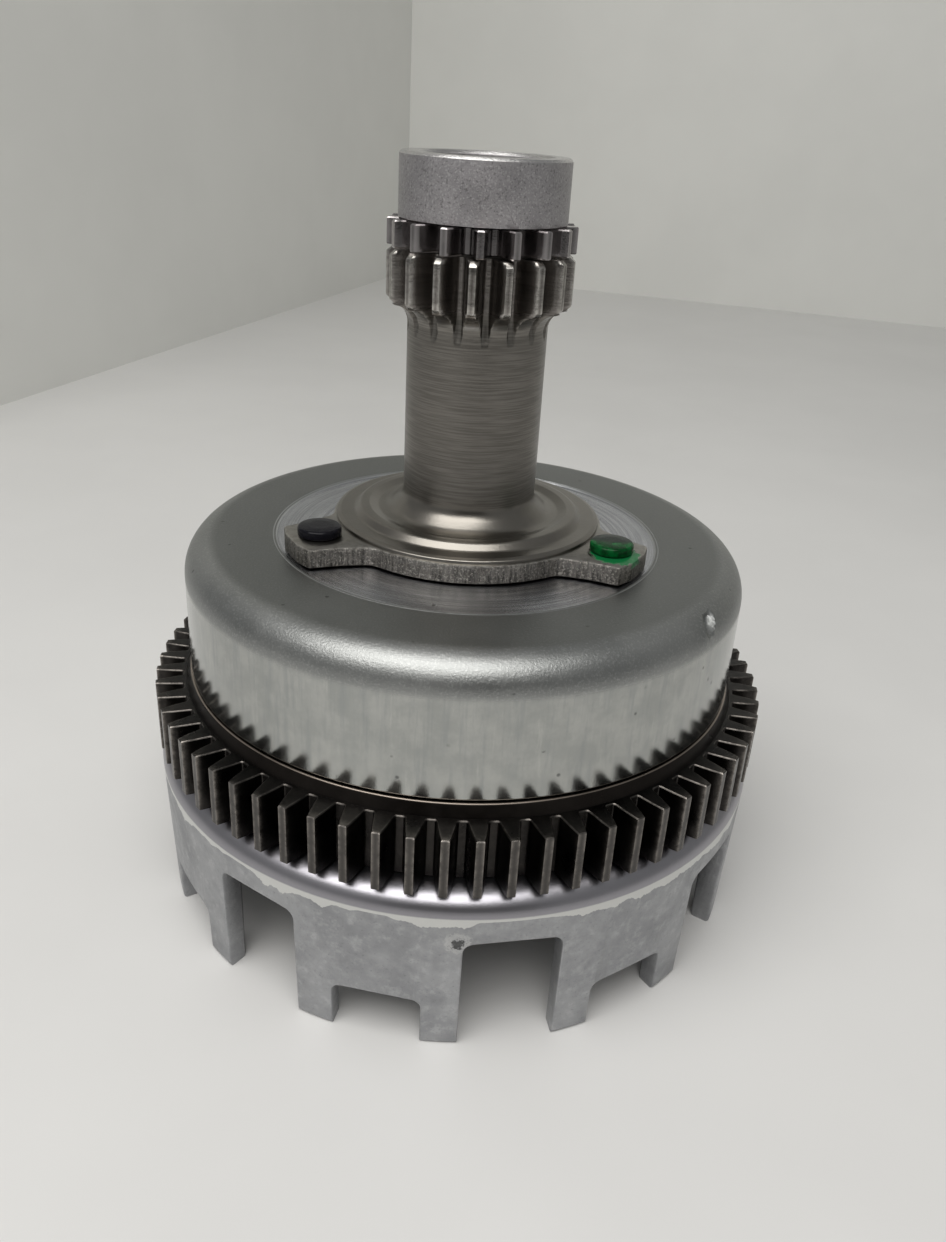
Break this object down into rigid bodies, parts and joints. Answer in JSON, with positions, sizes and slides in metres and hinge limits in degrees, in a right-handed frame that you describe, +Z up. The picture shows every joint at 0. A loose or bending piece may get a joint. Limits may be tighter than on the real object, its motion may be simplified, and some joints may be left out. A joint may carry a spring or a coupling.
{
  "type": "clutch bell set with primary gears",
  "caption": "Cup-shaped clutch drum with a riveted pinion shaft, standing mouth down on the toothed driven gear of a slotted cast basket.",
  "frame": {"origin": "on the common axis of basket and drum, at the height of the basket's feet", "axes": "+Z up along the common axis, from the basket's feet to the end collar; -Y towards the side where the flange has no ear"},
  "size_m": [0.1242, 0.1242, 0.1437],
  "materials": {
    "cast_aluminium": "bare die casting, mottled matt grey with shiny patches",
    "dark_gear_steel": "hardened, almost black brown",
    "drum_steel": "satin turned steel with a grey-green cast",
    "shaft_steel": "hardened ground steel, warm grey-brown satin",
    "sub_gear_steel": "polished steel",
    "collar_steel": "blasted matt grey",
    "bush_bronze": "bronze, satin",
    "spring_steel": "oiled spring wire",
    "plate_steel": "pressed sheet, satin",
    "rivet_steel": "plain steel",
    "black_paint": "gloss black marking paint over steel",
    "green_paint": "gloss green marking paint over steel"
  },
  "bodies": {
    "basket": {"clutch_outer": "cast_aluminium", "hub_bush": "bush_bronze", "side_plate": "plate_steel", "clutch_rivet_1": "rivet_steel", "clutch_rivet_2": "rivet_steel", "clutch_rivet_3": "rivet_steel"},
    "damper_springs": {"damper_spring_1": "spring_steel", "damper_spring_2": "spring_steel", "damper_spring_3": "spring_steel", "damper_spring_4": "spring_steel", "damper_spring_5": "spring_steel", "damper_spring_6": "spring_steel"},
    "driven_gear": {"primary_driven_gear": "dark_gear_steel"},
    "crank_bushes": {"shaft_bush_lower": "bush_bronze", "shaft_bush_upper": "bush_bronze"},
    "bell": {"clutch_drum": "drum_steel", "primary_drive_gear": "shaft_steel", "drum_rivet_black": "black_paint", "drum_rivet_green": "green_paint", "drum_rivet_rear": "rivet_steel", "sub_gear_spring": "spring_steel", "end_collar": "collar_steel"},
    "sub_gear": {"sub_gear": "sub_gear_steel"}
  },
  "joints": [
    {"name": "damper_twist", "type": "hinge", "parent": "basket", "child": "driven_gear", "pos_m": [0, 0, 0.0387], "axis": [0, 0, 1], "range_deg": [-3, 3], "stiffness_Nm_per_rad": 20, "deforming": ["damper_spring_1", "damper_spring_2", "damper_spring_3", "damper_spring_4", "damper_spring_5", "damper_spring_6"]},
    {"name": "damper_spring_drift", "type": "hinge", "parent": "basket", "child": "damper_springs", "pos_m": [0, 0, 0.0386], "axis": [0, 0, 1], "range_deg": [-1.5, 1.5], "deforming": ["damper_spring_1", "damper_spring_2", "damper_spring_3", "damper_spring_4", "damper_spring_5", "damper_spring_6"]},
    {"name": "bell_lift", "type": "slide", "parent": "driven_gear", "child": "crank_bushes", "axis": [0, 0, 1], "range_m": [0, 0.06]},
    {"name": "bell_spin", "type": "hinge", "parent": "crank_bushes", "child": "bell", "pos_m": [0, 0, 0.0748], "axis": [0, 0, 1], "continuous": true},
    {"name": "sub_gear_twist", "type": "hinge", "parent": "bell", "child": "sub_gear", "pos_m": [0, 0, 0.13075], "axis": [0, 0, 1], "range_deg": [-3.6, 0], "stiffness_Nm_per_rad": 0.4}
  ],
  "couplings": [
    {"joint": "damper_spring_drift", "follows": "damper_twist", "ratio": 0.5}
  ]
}
